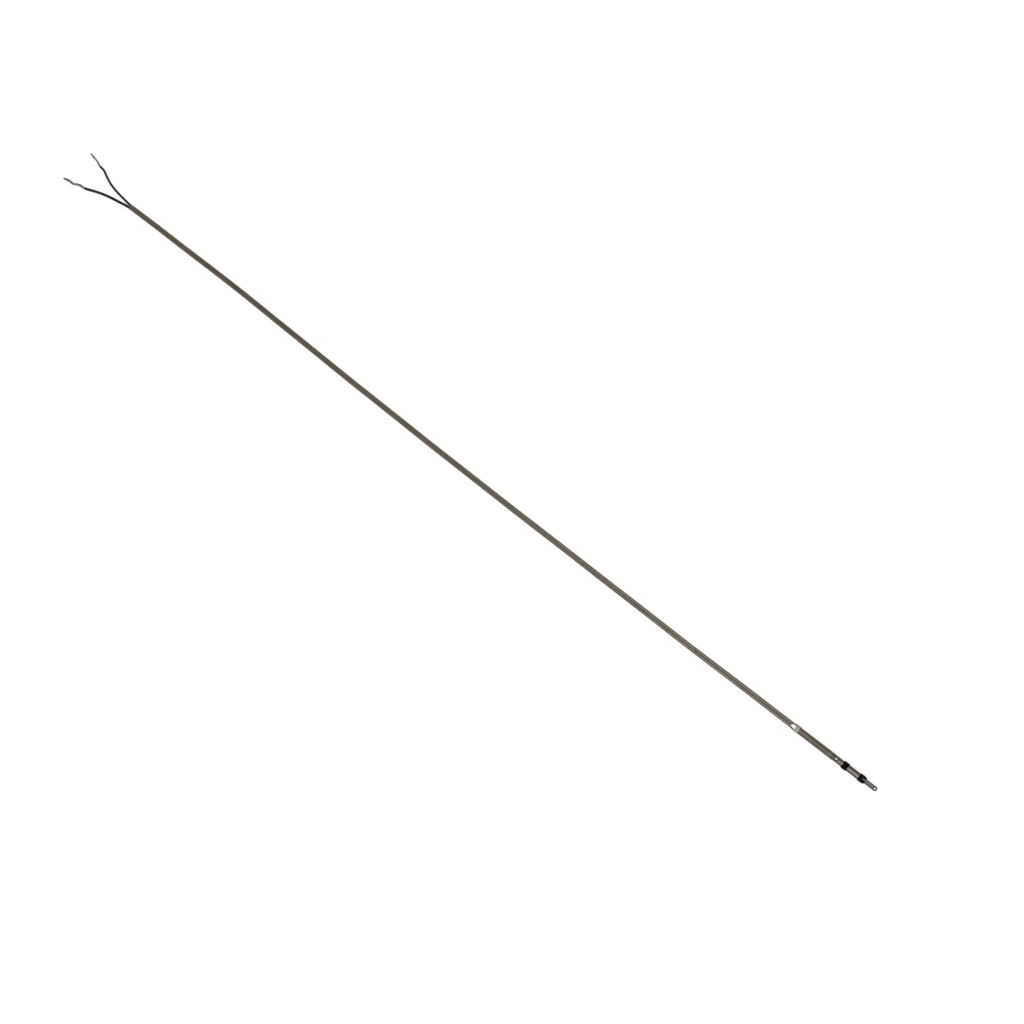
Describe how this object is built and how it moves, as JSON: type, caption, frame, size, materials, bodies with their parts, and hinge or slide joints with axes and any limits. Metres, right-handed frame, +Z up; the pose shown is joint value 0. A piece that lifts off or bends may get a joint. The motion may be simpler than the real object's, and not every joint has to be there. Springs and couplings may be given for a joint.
{
  "type": "submersible aquarium heater",
  "caption": "Slim rod-shaped submersible heater with a wound element in a smoky sleeve, a metal tip tube, rubber ring and boot, hanging tongue and long flat lead.",
  "frame": {"origin": "on the surface that the heater lies on, below the middle of the head, which is all but the flexible lead", "axes": "+X along the head towards the hanging eye, +Z up, +Y to the left of the head; the lead runs off to -X"},
  "size_m": [1.0191, 0.0428, 0.0071],
  "materials": {
    "lead_skin": "taupe extruded jacket, dull with a soft sheen along its two lobes",
    "core_black": "black core insulation, slightly brown",
    "tinned_strands": "twisted tinned strands, dull grey",
    "crimp_metal": "plain crimp ferrule",
    "nickel_wire": "drawn nickel wire",
    "block_plastic": "light warm grey moulding",
    "seal_rubber": "black seal",
    "sleeve_glass": "smoky glass, slightly dusty",
    "ceramic": "unglazed ceramic",
    "resistance_wire": "oxidised resistance wire",
    "coupling_plastic": "taupe moulding",
    "tube_metal": "dark drawn metal with a satin finish",
    "boot_rubber": "black rubber",
    "cutout_moulding": "brown phenolic",
    "terminal_brass": "stamped brass",
    "bimetal": "bimetal strip",
    "contact_silver": "silver contact",
    "tongue_grey": "neutral grey, satin",
    "rivet_steel": "bright domed rivet",
    "eyelet_metal": "dark rolled eyelet"
  },
  "bodies": {
    "heater": {"lead_cable": "lead_skin", "core_insulation_a": "core_black", "core_insulation_b": "core_black", "strands_a": "tinned_strands", "strands_b": "tinned_strands", "lead_crimps": "crimp_metal", "cold_lead_a": "nickel_wire", "cold_lead_b": "nickel_wire", "terminal_block": "block_plastic", "block_seal": "seal_rubber", "element_sleeve": "sleeve_glass", "element_core": "ceramic", "heating_coil": "resistance_wire", "return_splice": "crimp_metal", "return_wire": "nickel_wire", "feed_wire": "nickel_wire", "coupling": "coupling_plastic", "sleeve_seal": "seal_rubber", "tube_seal": "seal_rubber", "cutout_tube": "tube_metal", "cutout_base": "cutout_moulding", "blade_terminal": "terminal_brass", "fixed_contact": "contact_silver", "end_plug": "cutout_moulding", "tongue_pin": "nickel_wire", "hanging_tongue": "tongue_grey", "boot_rivet": "rivet_steel", "eyelet": "eyelet_metal", "end_boot": "boot_rubber"},
    "ring": {"spacer_ring": "boot_rubber"},
    "blade": {"bimetal_blade": "bimetal", "moving_contact": "contact_silver"}
  },
  "joints": [
    {"name": "ring_slide", "type": "slide", "parent": "heater", "child": "ring", "axis": [1, 0, 0], "range_m": [0, 0.011]},
    {"name": "blade_opening", "type": "hinge", "parent": "heater", "child": "blade", "pos_m": [0.01855, 0, 0.0038], "axis": [0, -1, 0], "range_deg": [0, 7], "stiffness_Nm_per_rad": 0.0001}
  ]
}
